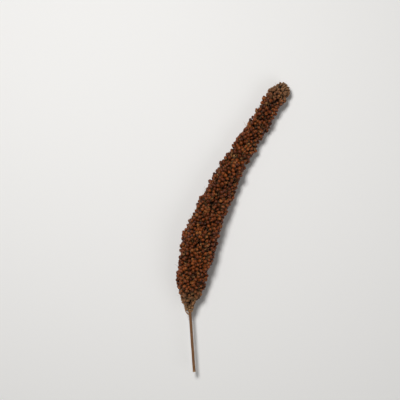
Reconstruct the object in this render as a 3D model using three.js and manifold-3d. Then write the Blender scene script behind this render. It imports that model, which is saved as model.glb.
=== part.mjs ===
// A dried foxtail millet seed head, as cut: a dense, gently bent spike of small grains that grow in
// rounded tufts on short side branches, with a length of its straw stalk. It lies on its side on a
// flat surface. Millimetres, +Z up, +Y roughly from the stalk to the tip. The origin is on the
// surface, under the middle of the whole.
//
// A place on the head is given by two numbers: "along", the distance from the head's base towards its
// tip on the bent middle line, and "round", the angle round that line.
import * as THREE from "three";
import { ConvexHull } from "three/addons/math/ConvexHull.js";
import { mergeVertices } from "three/addons/utils/BufferGeometryUtils.js";
import Module from "manifold-3d";

// Middle line: seen from above it turns by BEND in all, most of it near the base.
const HEAD_LENGTH = 126;
const STALK_LENGTH = 30;
const BASE_HEADING = THREE.MathUtils.degToRad(-4);
const BEND = THREE.MathUtils.degToRad(43);
const BEND_REACH = 52.5;

// Outline of the head over the grains: [along, radius], from the thin loose base to the blunt tip.
const HEAD_OUTLINE = [
  [0, 2.2],
  [4, 3.9],
  [9, 6.2],
  [15, 7.8],
  [22, 8.3],
  [31, 9.6],
  [42, 9.0],
  [54, 8.3],
  [64, 7.9],
  [73, 7.2],
  [82, 6.3],
  [105, 5.9],
  [112, 5.7],
  [118.5, 5.4],
  [122, 4.8],
  [124.4, 3.6],
  [125.6, 2],
  [126, 0],
];

// Tufts: the rounded ends of the short side branches.
const TUFT_COUNT = 160;
const TUFT_REACH = 3.8;
const TUFT_RISE = 2.6;
const TUFT_SCATTER = 0.9;
const TUFT_UNEVENNESS = 0.5;

// Grains: each is a blunt bead with a few sides, about a third larger than life so that it shows.
const GRAIN_COUNT = 940;
const GRAIN_RISE = 1.15;
const GRAIN_TOP = 0.82;
const GRAIN_TOP_SIDES = 4;
const GRAIN_SCATTER = 0.34;
const GRAIN_UNEVENNESS = 0.22;

// Stalk, and the plain hole in the head's base that it stands in.
const STALK_RADIUS = 0.7;
const STALK_SIDES = 10;
const STALK_DROOP = 0.8;
const SOCKET_DEPTH = 12;
const SOCKET_GAP = 0.3;
const PATH_STEP = 2.5;

// How it lies: between these two places its belly is level and just clear of the surface. It stands on
// three low grains round its weight and on a small flat spot of the belly between them. Each place is
// given by how far along it is and how far aside of the belly's middle, to the inside of the bend.
const LEVEL_FROM = 20;
const LEVEL_TO = 112;
const LEVELLING = [-8, -4, 0, 4, 8];
const BELLY_HEIGHT = 0.4;
const CLEARANCE = 0.7;
const LOW_GRAINS = [
  [22, 2.2],
  [56, -2.5],
  [104, 2.2],
];
const SPOT = [56, 0.6];
const SPOT_HALF_LENGTH = 4.2;
const SPOT_HALF_WIDTH = 2;

// The head's length is walked in small steps, to add up its surface and to unroll it.
const WALK_STEPS = 2000;
const NEARBY = 0.2;
const SLIMMEST = 0.2;
const FULL_TUFT_RADIUS = 5;

const DRAW_SEED = 20407;
const GOLDEN_ANGLE = Math.PI * (3 - Math.sqrt(5));
const FULL_TURN = 2 * Math.PI;
const UP = new THREE.Vector3(0, 0, 1);

const HUSK_BROWN = 0x7b4826;
const STRAW = 0x9a7450;

const wasm = await Module();
wasm.setup();

// Repeatable draws from 0 to 1.
function drawsFrom(seed) {
  let state = seed;
  return function draw() {
    state = (state * 48271) % 2147483647;
    return state / 2147483647;
  };
}

// A smooth line through [x, y] points that never overshoots between two of them by much.
function smoothThrough(points, x) {
  const last = points.length - 1;
  if (x <= points[0][0]) return points[0][1];
  if (x >= points[last][0]) return points[last][1];
  let i = 0;
  while (points[i + 1][0] < x) i += 1;
  const slopeAt = (k) => {
    const before = points[Math.max(k - 1, 0)];
    const after = points[Math.min(k + 1, last)];
    return (after[1] - before[1]) / (after[0] - before[0]);
  };
  const [x0, y0] = points[i];
  const [x1, y1] = points[i + 1];
  const width = x1 - x0;
  const t = (x - x0) / width;
  const rise = t * t * (3 - 2 * t);
  const leaving = t * (1 - t) * (1 - t) * width * slopeAt(i);
  const arriving = t * t * (t - 1) * width * slopeAt(i + 1);
  return y0 + (y1 - y0) * rise + leaving + arriving;
}

function outerRadius(along) {
  return smoothThrough(HEAD_OUTLINE, along);
}

// Height of the middle line: it follows the head's own radius, and is held at both ends.
function heightOfLine(along) {
  const heights = LEVELLING.map((shift) =>
    outerRadius(THREE.MathUtils.clamp(along + shift, LEVEL_FROM, LEVEL_TO)),
  );
  const mean = heights.reduce((sum, height) => sum + height, 0) / heights.length;
  const beyond = Math.min(along, 0) / STALK_LENGTH;
  return mean + BELLY_HEIGHT - STALK_DROOP * beyond * beyond;
}

function headingOfLine(along) {
  return BASE_HEADING + BEND * (1 - Math.exp(-Math.max(along, 0) / BEND_REACH));
}

// The middle line's points at every millimetre, from the stalk's cut end to past the tip.
function middleLine() {
  const points = [];
  const plan = new THREE.Vector2(0, 0);
  const first = -STALK_LENGTH;
  for (let along = first; along <= HEAD_LENGTH + 2; along += 1) {
    points.push(new THREE.Vector3(plan.x, plan.y, heightOfLine(along)));
    const heading = headingOfLine(along + 0.5);
    plan.x += Math.sin(heading);
    plan.y += Math.cos(heading);
  }
  const base = points[STALK_LENGTH].clone().setZ(0);
  points.forEach((point) => point.sub(base));
  return points;
}

const LINE = middleLine();

// The point of the middle line at a distance along it, and the three directions there.
function stationAt(along) {
  const place = THREE.MathUtils.clamp(along + STALK_LENGTH, 0, LINE.length - 1.001);
  const i = Math.floor(place);
  const centre = LINE[i].clone().lerp(LINE[i + 1], place - i);
  const before = LINE[Math.max(i - 1, 0)];
  const after = LINE[Math.min(i + 2, LINE.length - 1)];
  const ahead = after.clone().sub(before).normalize();
  const side = ahead.clone().cross(UP).normalize();
  const up = side.clone().cross(ahead);
  return { centre, ahead, side, up };
}

// A point at a radius from the middle line.
function pointAt(along, round, radius) {
  const { centre, side, up } = stationAt(along);
  return centre
    .addScaledVector(side, radius * Math.cos(round))
    .addScaledVector(up, radius * Math.sin(round));
}

// How much longer the skin is than the middle line under it.
function slantAt(along) {
  const slope = (outerRadius(along + NEARBY) - outerRadius(along - NEARBY)) / (2 * NEARBY);
  return Math.hypot(1, slope);
}

// Running total of a quantity along the head, one entry for each step of the walk.
function runningTotal(quantityAt) {
  const step = HEAD_LENGTH / WALK_STEPS;
  const totals = [0];
  for (let i = 0; i < WALK_STEPS; i += 1) {
    totals.push(totals[i] + quantityAt((i + 0.5) * step) * step);
  }
  return totals;
}

// Places that share the head's surface evenly, each a golden angle round from the one before.
function evenPlaces(count, scatter, draw) {
  const surface = runningTotal((along) => outerRadius(along) * slantAt(along));
  const places = [];
  let i = 0;
  for (let k = 0; k < count; k += 1) {
    const wanted = ((k + 0.5) / count) * surface[WALK_STEPS];
    while (surface[i + 1] < wanted) i += 1;
    const part = (wanted - surface[i]) / (surface[i + 1] - surface[i]);
    const along = ((i + part) / WALK_STEPS) * HEAD_LENGTH + (draw() - 0.5) * scatter;
    const radius = Math.max(outerRadius(along), scatter);
    const round = k * GOLDEN_ANGLE + ((draw() - 0.5) * scatter) / radius;
    places.push({ along: THREE.MathUtils.clamp(along, 0, HEAD_LENGTH), round });
  }
  return places;
}

function tuftsFrom(draw) {
  return evenPlaces(TUFT_COUNT, TUFT_SCATTER, draw).map(({ along, round }) => ({
    along,
    crown: pointAt(along, round, outerRadius(along)),
    fullness: 1 + (draw() - 0.5) * TUFT_UNEVENNESS,
  }));
}

// How far the skin under the grains lies below the outline: little on a tuft's crown, most between.
function sinkBetween(tufts, along, round) {
  const place = pointAt(along, round, outerRadius(along));
  let bulge = 0;
  for (const { crown, fullness } of tufts) {
    const off = place.distanceTo(crown) / TUFT_REACH;
    if (off < 1) bulge = Math.max(bulge, fullness * Math.sqrt(1 - off * off));
  }
  const slimness = Math.min(1, outerRadius(along) / FULL_TUFT_RADIUS);
  return TUFT_RISE * slimness * (1 - bulge);
}

// The skin's direction out of the head, which leans forward at the tip and back at the base.
function outwardAt(along, round) {
  const from = Math.max(along - NEARBY, 0);
  const to = Math.min(along + NEARBY, HEAD_LENGTH);
  const forward = pointAt(to, round, outerRadius(to));
  forward.sub(pointAt(from, round, outerRadius(from)));
  const { side, up } = stationAt(along);
  const across = side.multiplyScalar(-Math.sin(round)).addScaledVector(up, Math.cos(round));
  return forward.cross(across).normalize();
}

// Which places are neighbours: the skin is unrolled without stretching onto a ball, whose hull joins
// each place to those next to it.
function trianglesAmong(places) {
  const unrolled = runningTotal((along) => slantAt(along) / Math.max(outerRadius(along), SLIMMEST));
  const onBall = places.map(({ along, round }) => {
    const step = Math.round((along / HEAD_LENGTH) * WALK_STEPS);
    const height = unrolled[step] - unrolled[WALK_STEPS] / 2;
    const ring = 1 / Math.cosh(height);
    return new THREE.Vector3(ring * Math.cos(round), ring * Math.sin(round), Math.tanh(height));
  });
  const numbers = new Map(onBall.map((point, k) => [point, k]));
  const hull = new ConvexHull().setFromPoints(onBall);
  return hull.faces.map(({ edge }) =>
    [edge, edge.next, edge.next.next].map((side) => numbers.get(side.head().point)),
  );
}

// For each grain, the triangles round it in turn.
function ringsOf(triangles, count) {
  const following = Array.from({ length: count }, () => new Map());
  triangles.forEach(([a, b, c], t) => {
    following[a].set(b, { next: c, t });
    following[b].set(c, { next: a, t });
    following[c].set(a, { next: b, t });
  });
  return following.map((links) => {
    const ring = [];
    const start = links.keys().next().value;
    let at = start;
    do {
      const link = links.get(at);
      ring.push(link.t);
      at = link.next;
    } while (at !== start);
    return ring;
  });
}

// The band of triangles between a grain's small top and the low points round it. Both lists run the
// same way round, each with its angle.
function bandBetween(top, low, faces) {
  let i = 0;
  let j = 0;
  const angleOf = (list, k) => list[k % list.length].angle + FULL_TURN * Math.floor(k / list.length);
  while (i < low.length || j < top.length) {
    const lowTurn = i < low.length ? angleOf(low, i + 1) : Infinity;
    const topTurn = j < top.length ? angleOf(top, j + 1) : Infinity;
    const lowNow = low[i % low.length].vertex;
    const topNow = top[j % top.length].vertex;
    if (lowTurn < topTurn) {
      faces.push(lowNow, low[(i + 1) % low.length].vertex, topNow);
      i += 1;
    } else {
      faces.push(lowNow, top[(j + 1) % top.length].vertex, topNow);
      j += 1;
    }
  }
}

// The corners of a grain's small flat top, at a random turn.
function topCorners(middle, right, forward, draw) {
  const turn = draw() * FULL_TURN;
  const corners = [];
  for (let corner = 0; corner < GRAIN_TOP_SIDES; corner += 1) {
    const angle = turn + (corner / GRAIN_TOP_SIDES) * FULL_TURN;
    const place = middle.clone();
    place.addScaledVector(right, GRAIN_TOP * Math.cos(angle));
    place.addScaledVector(forward, GRAIN_TOP * Math.sin(angle));
    corners.push(place);
  }
  return corners;
}

// The grains as relief: between every three of them the skin dips to a low point, and each grain
// rises from the low points round it to its top.
function grainedSkin(draw) {
  const tufts = tuftsFrom(draw);
  const grains = evenPlaces(GRAIN_COUNT, GRAIN_SCATTER, draw);
  const feet = grains.map(({ along, round }) => {
    const radius = outerRadius(along) - GRAIN_RISE - sinkBetween(tufts, along, round);
    return pointAt(along, round, Math.max(radius, SLIMMEST));
  });
  const triangles = trianglesAmong(grains);
  const vertices = triangles.map(([a, b, c]) =>
    feet[a].clone().add(feet[b]).add(feet[c]).divideScalar(3),
  );
  const faces = [];
  const rings = ringsOf(triangles, GRAIN_COUNT);
  grains.forEach(({ along, round }, k) => {
    const outward = outwardAt(along, round);
    const right = stationAt(along).ahead.cross(outward).normalize();
    const forward = outward.clone().cross(right);
    const rise = GRAIN_RISE * (1 + (draw() - 0.5) * GRAIN_UNEVENNESS);
    const middle = feet[k].clone().addScaledVector(outward, rise);
    const withAngle = (vertex) => {
      const off = vertices[vertex].clone().sub(middle);
      return { vertex, angle: Math.atan2(off.dot(forward), off.dot(right)) };
    };
    const byAngle = (one, other) => one.angle - other.angle;
    const low = rings[k].map(withAngle).sort(byAngle);
    const firstOfTop = vertices.length;
    vertices.push(...topCorners(middle, right, forward, draw));
    const top = [];
    for (let vertex = firstOfTop; vertex < vertices.length; vertex += 1) {
      top.push(withAngle(vertex));
    }
    top.sort(byAngle);
    bandBetween(top, low, faces);
    for (let corner = 1; corner < GRAIN_TOP_SIDES - 1; corner += 1) {
      faces.push(top[0].vertex, top[corner].vertex, top[corner + 1].vertex);
    }
  });
  return { vertices, faces };
}

// A point on the underside of the outline, aside of the belly's middle.
function onBelly(along, aside) {
  const radius = outerRadius(along);
  return pointAt(along, aside / radius - Math.PI / 2, radius);
}

function nearestOf(vertices, place) {
  const nearer = (one, other) => (other.distanceTo(place) < one.distanceTo(place) ? other : one);
  return vertices.reduce(nearer);
}

// Lays the head down: the belly keeps clear of the surface, apart from its flat spot and the tips of
// its three low grains.
function layDown(vertices) {
  const tips = LOW_GRAINS.map(([along, aside]) => nearestOf(vertices, onBelly(along, aside)));
  const spot = onBelly(...SPOT);
  const { ahead, side } = stationAt(SPOT[0]);
  for (const vertex of vertices) {
    const off = vertex.clone().sub(spot);
    const lengthwise = off.dot(ahead) / SPOT_HALF_LENGTH;
    const sideways = off.dot(side) / SPOT_HALF_WIDTH;
    const under = vertex.z < outerRadius(SPOT[0]) && lengthwise ** 2 + sideways ** 2 < 1;
    vertex.z = under ? 0 : Math.max(vertex.z, CLEARANCE);
  }
  for (const tip of tips) tip.z = 0;
}

// A closed solid from a geometry, its shared vertices merged.
function solidFrom(geometry) {
  const bare = geometry.clone();
  bare.deleteAttribute("normal");
  bare.deleteAttribute("uv");
  const merged = mergeVertices(bare, 1e-4);
  return new wasm.Manifold(
    new wasm.Mesh({
      numProp: 3,
      vertProperties: new Float32Array(merged.attributes.position.array),
      triVerts: new Uint32Array(merged.index.array),
    }),
  );
}

function geometryFrom(solid) {
  const { vertProperties, triVerts } = solid.getMesh();
  const geometry = new THREE.BufferGeometry();
  geometry.setAttribute("position", new THREE.BufferAttribute(vertProperties, 3));
  geometry.setIndex(new THREE.BufferAttribute(triVerts, 1));
  geometry.computeVertexNormals();
  return geometry;
}

// A round rod along the middle line between two places on it.
function rodAlong(from, to, radius) {
  const steps = Math.round((to - from) / PATH_STEP);
  const stops = [];
  for (let i = 0; i <= steps; i += 1) {
    stops.push(stationAt(from + ((to - from) * i) / steps).centre);
  }
  const section = new THREE.Shape();
  for (let corner = 0; corner < STALK_SIDES; corner += 1) {
    const angle = (corner / STALK_SIDES) * FULL_TURN;
    const place = new THREE.Vector2(radius * Math.cos(angle), radius * Math.sin(angle));
    if (corner === 0) section.moveTo(place.x, place.y);
    else section.lineTo(place.x, place.y);
  }
  section.closePath();
  const extrudePath = new THREE.CatmullRomCurve3(stops);
  return new THREE.ExtrudeGeometry(section, { steps, extrudePath, bevelEnabled: false });
}

function seedHeadGeometry() {
  const { vertices, faces } = grainedSkin(drawsFrom(DRAW_SEED));
  layDown(vertices);
  const skin = new THREE.BufferGeometry().setFromPoints(vertices);
  skin.setIndex(faces);
  const socket = rodAlong(-PATH_STEP, SOCKET_DEPTH + SOCKET_GAP, STALK_RADIUS + SOCKET_GAP);
  return geometryFrom(solidFrom(skin).subtract(solidFrom(socket)));
}

function stalkGeometry() {
  return rodAlong(-STALK_LENGTH, SOCKET_DEPTH, STALK_RADIUS);
}

function meshNamed(name, geometry, color, roughness) {
  const material = new THREE.MeshStandardMaterial({ color, roughness, metalness: 0 });
  const mesh = new THREE.Mesh(geometry, material);
  mesh.name = name;
  return mesh;
}

const seedHead = new THREE.Group();
seedHead.add(meshNamed("seed_head", seedHeadGeometry(), HUSK_BROWN, 0.6));
seedHead.add(meshNamed("stalk", stalkGeometry(), STRAW, 0.7));

// The origin goes under the middle of the whole.
const middle = new THREE.Box3().setFromObject(seedHead).getCenter(new THREE.Vector3());
seedHead.position.set(-middle.x, -middle.y, 0);

export default seedHead;
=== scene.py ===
"""A dried foxtail millet seed head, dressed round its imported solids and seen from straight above.

The solids give the place and the size of everything. The head's form follows one rule: a bent middle
line, an outline round it, and tufts that swell the skin. All that grows on the head is set on that
form by Geometry Nodes: ripe grains in layers, small ones at the tip, the papery husks that hold them,
bristles, and empty husks at the thin base. Sizes are in millimetres until a mesh is made, and in
metres from then on.
"""

import logging
import math
from dataclasses import dataclass, field, replace
from enum import Enum

import bpy
import numpy as np
from bpy.types import Material, Mesh, Node, NodeSocket, NodeTree, Object
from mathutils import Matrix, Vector


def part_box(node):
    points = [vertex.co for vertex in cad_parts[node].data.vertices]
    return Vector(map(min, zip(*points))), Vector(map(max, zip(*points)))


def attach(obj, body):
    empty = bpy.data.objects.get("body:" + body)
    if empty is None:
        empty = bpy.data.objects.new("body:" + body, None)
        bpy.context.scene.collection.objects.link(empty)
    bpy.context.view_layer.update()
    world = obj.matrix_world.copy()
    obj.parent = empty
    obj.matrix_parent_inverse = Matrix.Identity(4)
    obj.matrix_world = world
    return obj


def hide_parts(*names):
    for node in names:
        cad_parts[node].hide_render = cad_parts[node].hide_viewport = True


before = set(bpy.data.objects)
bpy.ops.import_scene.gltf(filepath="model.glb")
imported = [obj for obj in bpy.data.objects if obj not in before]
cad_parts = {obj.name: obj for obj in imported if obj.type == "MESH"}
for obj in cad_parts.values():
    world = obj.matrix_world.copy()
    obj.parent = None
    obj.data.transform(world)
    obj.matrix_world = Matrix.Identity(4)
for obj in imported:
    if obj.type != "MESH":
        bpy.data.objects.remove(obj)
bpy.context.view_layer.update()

MM = 0.001
BODY = "root"
GOLDEN_ANGLE = math.pi * (3 - math.sqrt(5))
DRAW_STEP = 48271
DRAW_RANGE = 2147483647
LOG = logging.getLogger("seed_head")
Sockets = bpy.types.bpy_prop_collection

# Settings that several nodes share
NUMBER = {"data_type": "FLOAT"}
VECTOR = {"data_type": "FLOAT_VECTOR"}
COLOUR = {"data_type": "RGBA"}
DARKEN = {"data_type": "RGBA", "blend_type": "MULTIPLY"}
ADD = {"operation": "ADD"}
TIMES = {"operation": "MULTIPLY"}
SCALE = {"operation": "SCALE"}
EASED = {"interpolation_type": "SMOOTHSTEP"}


class Solid(Enum):
    """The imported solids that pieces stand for, each with its node and its material slot."""

    HEAD = ("seed_head", "grain_husk")
    STALK = ("stalk", "straw")


class Chance(Enum):
    """The seeds of what is drawn at random for each copy of what grows."""

    STRAY = 1
    SPIN = 2
    SIZE = 3
    SHAPE = 4
    TINT = 5
    KEPT = 6
    HEIGHT = 7


def linear(hex_colour: str) -> tuple[float, float, float, float]:
    """Turns an sRGB colour into the linear one that shaders take.

    Args:
        hex_colour: The colour as six hex digits after a hash mark.

    Returns:
        Linear red, green and blue, and an alpha of 1.
    """
    parts = [int(hex_colour[i : i + 2], 16) / 255 for i in (1, 3, 5)]
    red, green, blue = (
        part / 12.92 if part <= 0.04045 else ((part + 0.055) / 1.055) ** 2.4 for part in parts
    )
    return red, green, blue, 1.0


def fill(node: Node, inputs: dict) -> None:
    """Fills or links a node's inputs.

    Args:
        node: The node.
        inputs: By the input's number, or its name among those in use: a value, a socket to link from,
            or a node to link from by the first of its outputs in use.
    """
    for key, value in inputs.items():
        if isinstance(key, int):
            socket = node.inputs[key]
        else:
            socket = next(other for other in node.inputs if other.enabled and other.name == key)
        if isinstance(value, Node):
            value = next(output for output in value.outputs if output.enabled)
        if isinstance(value, NodeSocket):
            node.id_data.links.new(value, socket)
        else:
            socket.default_value = value


def add_node(tree: NodeTree, kind: str, settings: dict | None = None, inputs: dict | None = None) -> Node:
    """Adds a node with its settings and links.

    Args:
        tree: The node tree to add to.
        kind: The node's type name.
        settings: Properties of the node by name.
        inputs: Its inputs, as fill takes them.

    Returns:
        The new node.
    """
    node = tree.nodes.new(kind)
    for name, value in (settings or {}).items():
        setattr(node, name, value)
    fill(node, inputs or {})
    return node


def unit(vectors: np.ndarray) -> np.ndarray:
    """Returns the vectors at a length of 1."""
    return vectors / np.linalg.norm(vectors, axis=-1, keepdims=True)


def turns(count: int) -> np.ndarray:
    """Returns angles spread evenly all round."""
    return np.arange(count) / count * 2 * math.pi


def smooth_step(share: np.ndarray) -> np.ndarray:
    """Eases a share from 0 to 1, held at both ends."""
    held = np.clip(share, 0, 1)
    return held * held * (3 - 2 * held)


def smooth_through(points: tuple, x: np.ndarray) -> np.ndarray:
    """Reads a smooth line through [x, y] points.

    Args:
        points: The points that the line passes through, in order of x.
        x: Where to read it.

    Returns:
        The line's y at each x, held level beyond both ends.
    """
    xs, ys = np.array(points, float).T
    chords = np.diff(ys) / np.diff(xs)
    slopes = np.r_[chords[0], (ys[2:] - ys[:-2]) / (xs[2:] - xs[:-2]), chords[-1]]
    at = np.clip(np.asarray(x, float), xs[0], xs[-1])
    i = np.clip(np.searchsorted(xs, at, side="right") - 1, 0, len(xs) - 2)
    width = xs[i + 1] - xs[i]
    t = (at - xs[i]) / width
    rise = t * t * (3 - 2 * t)
    leaving = t * (1 - t) ** 2 * width * slopes[i]
    arriving = t * t * (t - 1) * width * slopes[i + 1]
    return ys[i] + (ys[i + 1] - ys[i]) * rise + leaving + arriving


def draws(state: int, count: int) -> np.ndarray:
    """Makes repeatable draws from 0 to 1.

    Args:
        state: Where to start.
        count: How many to make.

    Returns:
        The draws.
    """
    drawn = []
    for _ in range(count):
        state = state * DRAW_STEP % DRAW_RANGE
        drawn.append(state / DRAW_RANGE)
    return np.array(drawn)


@dataclass(frozen=True)
class Skin:
    """A tufted skin: its depth below the outline, how fine it is, and how thick things stand on it.

    At the base and the tip, the names that end in "thinning" give the share of growth that is lost,
    those that end in "shrinking" the size that is lost, and those in "pallor" how pale it is.
    """

    name: str
    depth: float
    lowest: float
    start: float = 0.3
    tip_gap: float = 0.4
    slimmest: float = 0.25
    rings: int = 300
    columns: int = 90
    base_length: float = 11.0
    pale_length: float = 15.0
    tip_length: float = 14.0
    tip_depth_share: float = 0.45
    valley_from: float = 1.0
    valley_to: float = 2.1
    valley_thinning: float = 0.85
    base_cover: float = 0.3
    tip_thinning: float = 0.8
    chaff_thinning: float = 0.94
    bristle_thinning: float = 0.4
    base_shrinking: float = 0.2
    tip_shrinking: float = 0.36
    base_pallor: float = 0.85
    tip_pallor: float = 0.8

    def depth_at(self, from_tip: np.ndarray) -> np.ndarray:
        """Returns how deep it lies, less and less towards the tip, where all that grows is smaller."""
        full = smooth_step(from_tip / self.tip_length)
        return self.depth * (self.tip_depth_share + (1 - self.tip_depth_share) * full)

    def build(self, form: "HeadForm") -> Object:
        """Builds the skin, with what each of its points lets grow there.

        Args:
            form: The form that it follows.

        Returns:
            The skin as an object.
        """
        points, faces, along, sunk = form.surface(self)
        _, ahead, _, _ = form.station(along)
        filled = smooth_step(along / self.base_length)
        from_tip = smooth_step((form.head_length - along) / self.tip_length)
        from_pale = smooth_step(along / self.pale_length)
        valley = smooth_step((sunk - self.valley_from) / (self.valley_to - self.valley_from))
        cover = self.base_cover + (1 - self.base_cover) * filled
        cover = cover * (1 - self.tip_thinning * (1 - from_tip))
        values = {
            "ahead": ahead,
            "size": 1 - self.base_shrinking * (1 - filled) - self.tip_shrinking * (1 - from_tip),
            "pallor": self.base_pallor * (1 - from_pale) + self.tip_pallor * (1 - from_tip),
            "grain_cover": cover * (1 - self.valley_thinning * valley),
            "inner_cover": cover,
            "tip_cover": 1 - from_tip,
            "chaff_cover": 1 - self.chaff_thinning * filled,
            "bristle_cover": 1 - self.bristle_thinning * filled,
        }
        return object_from(mesh_from(self.name, points, faces, values))


@dataclass
class HeadForm:
    """The bent, tufted form that everything on the head sits on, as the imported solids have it.

    A place on it is "along", the distance from the head's base towards its tip on the middle line,
    and "turn", the angle round that line.
    """

    head_length: float = 126.0
    stalk_length: float = 30.0
    stalk_radius: float = 0.7
    base_heading: float = math.radians(-4)
    bend: float = math.radians(43)
    bend_reach: float = 52.5
    outline: tuple = (
        (0, 2.2), (4, 3.9), (9, 6.2), (15, 7.8), (22, 8.3), (31, 9.6), (42, 9.0), (54, 8.3),
        (64, 7.9), (73, 7.2), (82, 6.3), (105, 5.9), (112, 5.7), (118.5, 5.4), (122, 4.8), (124.4, 3.6),
        (125.6, 2), (126, 0),
    )
    tuft_count: int = 160
    tuft_reach: float = 3.8
    tuft_rise: float = 2.6
    tuft_scatter: float = 0.9
    tuft_unevenness: float = 0.5
    full_tuft_radius: float = 5.0
    level_from: float = 20.0
    level_to: float = 112.0
    belly_height: float = 0.4
    stalk_droop: float = 0.8
    levelling: tuple = (-8, -4, 0, 4, 8)
    walk_steps: int = 2000
    nearby: float = 0.2
    draw_seed: int = 20407
    line: np.ndarray = field(init=False, repr=False)
    tuft_fullness: np.ndarray = field(init=False, repr=False)
    tuft_crown: np.ndarray = field(init=False, repr=False)

    def __post_init__(self) -> None:
        """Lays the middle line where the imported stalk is, and sets the tufts round it."""
        self.line = self._middle_line()
        stalk_node, _ = Solid.STALK.value
        low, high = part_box(stalk_node)
        lean = -self.base_heading
        end_x = high.x / MM - self.stalk_radius * math.cos(lean)
        end_y = low.y / MM + self.stalk_radius * math.sin(lean)
        self.line[:, :2] += np.array([end_x, end_y]) - self.line[0, :2]
        self._set_tufts()

    def radius(self, along: np.ndarray) -> np.ndarray:
        """Returns the outline's radius over the grains."""
        return smooth_through(self.outline, along)

    def height(self, along: np.ndarray) -> np.ndarray:
        """Works out the middle line's height, at which the belly is level and near the surface.

        Args:
            along: Distances from the head's base.

        Returns:
            The heights there.
        """
        places = np.asarray(along, float)
        spread = [np.clip(places + shift, self.level_from, self.level_to) for shift in self.levelling]
        droop = self.stalk_droop * (np.minimum(places, 0) / self.stalk_length) ** 2
        return self.radius(np.array(spread)).mean(axis=0) + self.belly_height - droop

    def station(self, along: np.ndarray) -> tuple[np.ndarray, ...]:
        """Finds places on the middle line.

        Args:
            along: Distances from the head's base.

        Returns:
            The points there, and the directions ahead, to the side and up.
        """
        place = np.clip(np.asarray(along, float) + self.stalk_length, 0, len(self.line) - 1.001)
        i = np.floor(place).astype(int)
        part = (place - i)[..., None]
        centre = self.line[i] * (1 - part) + self.line[i + 1] * part
        after = self.line[np.minimum(i + 2, len(self.line) - 1)]
        ahead = unit(after - self.line[np.maximum(i - 1, 0)])
        side = unit(np.cross(ahead, [0.0, 0.0, 1.0]))
        return centre, ahead, side, np.cross(side, ahead)

    def place(self, along: np.ndarray, turn: np.ndarray, radius: np.ndarray) -> np.ndarray:
        """Finds points round the middle line.

        Args:
            along: Their distances from the head's base.
            turn: Their angles round the line.
            radius: Their distances from it.

        Returns:
            The points.
        """
        centre, _, side, up = self.station(along)
        reach = np.asarray(radius, float)[..., None]
        return centre + reach * (side * np.cos(turn)[..., None] + up * np.sin(turn)[..., None])

    def sink(self, along: np.ndarray, turn: np.ndarray) -> np.ndarray:
        """Works out how far the skin lies below the outline, little on a tuft and most between.

        Args:
            along: Distances from the head's base.
            turn: Angles round the middle line.

        Returns:
            The depths there.
        """
        places = self.place(along, turn, self.radius(along))
        off = np.linalg.norm(places[..., None, :] - self.tuft_crown, axis=-1) / self.tuft_reach
        bulge = (self.tuft_fullness * np.sqrt(np.clip(1 - off * off, 0, None))).max(axis=-1)
        slimness = np.minimum(1, self.radius(along) / self.full_tuft_radius)
        return self.tuft_rise * slimness * (1 - bulge)

    def surface(self, skin: Skin) -> tuple[np.ndarray, list, np.ndarray, np.ndarray]:
        """Works out a closed tufted skin below the outline.

        Args:
            skin: How deep it lies and how fine it is.

        Returns:
            Its points, its faces, and for each point its place along and how far it is sunk.
        """
        along = np.linspace(skin.start, self.head_length - skin.tip_gap, skin.rings)
        grid_along, grid_turn = np.meshgrid(along, turns(skin.columns), indexing="ij")
        sunk = np.array([self.sink(a, t) for a, t in zip(grid_along, grid_turn)])
        depth = skin.depth_at(self.head_length - grid_along)
        radius = np.maximum(self.radius(grid_along) - depth - sunk, skin.slimmest)
        points = self.place(grid_along, grid_turn, radius).reshape(-1, 3)
        ends, _, _, _ = self.station(along[[0, -1]])
        points = np.vstack([points, ends])
        points[:, 2] = np.maximum(points[:, 2], skin.lowest)
        places = np.r_[grid_along.ravel(), along[0], along[-1]]
        return points, tube_faces(skin.rings, skin.columns), places, np.r_[sunk.ravel(), 0, 0]

    def _middle_line(self) -> np.ndarray:
        """Works out the middle line before it is put in place.

        Returns:
            Its points at every millimetre.
        """
        along = np.arange(-self.stalk_length, self.head_length + 2.5)
        turned = 1 - np.exp(-np.maximum(along + 0.5, 0) / self.bend_reach)
        heading = self.base_heading + self.bend * turned
        x = np.r_[0, np.cumsum(np.sin(heading))[:-1]]
        y = np.r_[0, np.cumsum(np.cos(heading))[:-1]]
        return np.column_stack([x, y, self.height(along)])

    def _set_tufts(self) -> None:
        """Shares the skin evenly among the tufts, a golden angle apart."""
        count = self.tuft_count
        step = self.head_length / self.walk_steps
        middles = (np.arange(self.walk_steps) + 0.5) * step
        change = self.radius(middles + self.nearby) - self.radius(middles - self.nearby)
        slant = np.hypot(1, change / (2 * self.nearby))
        surface = np.r_[0, np.cumsum(self.radius(middles) * slant * step)]
        wanted = (np.arange(count) + 0.5) / count * surface[-1]
        even = np.interp(wanted, surface, np.arange(self.walk_steps + 1) * step)
        drawn = draws(self.draw_seed, 3 * count)
        astray = drawn[: 2 * count].reshape(-1, 2) - 0.5
        along = even + astray[:, 0] * self.tuft_scatter
        reach = np.maximum(self.radius(along), self.tuft_scatter)
        turn = np.arange(count) * GOLDEN_ANGLE + astray[:, 1] * self.tuft_scatter / reach
        along = np.clip(along, 0, self.head_length)
        self.tuft_fullness = 1 + (drawn[2 * count :] - 0.5) * self.tuft_unevenness
        self.tuft_crown = self.place(along, turn, self.radius(along))


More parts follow.
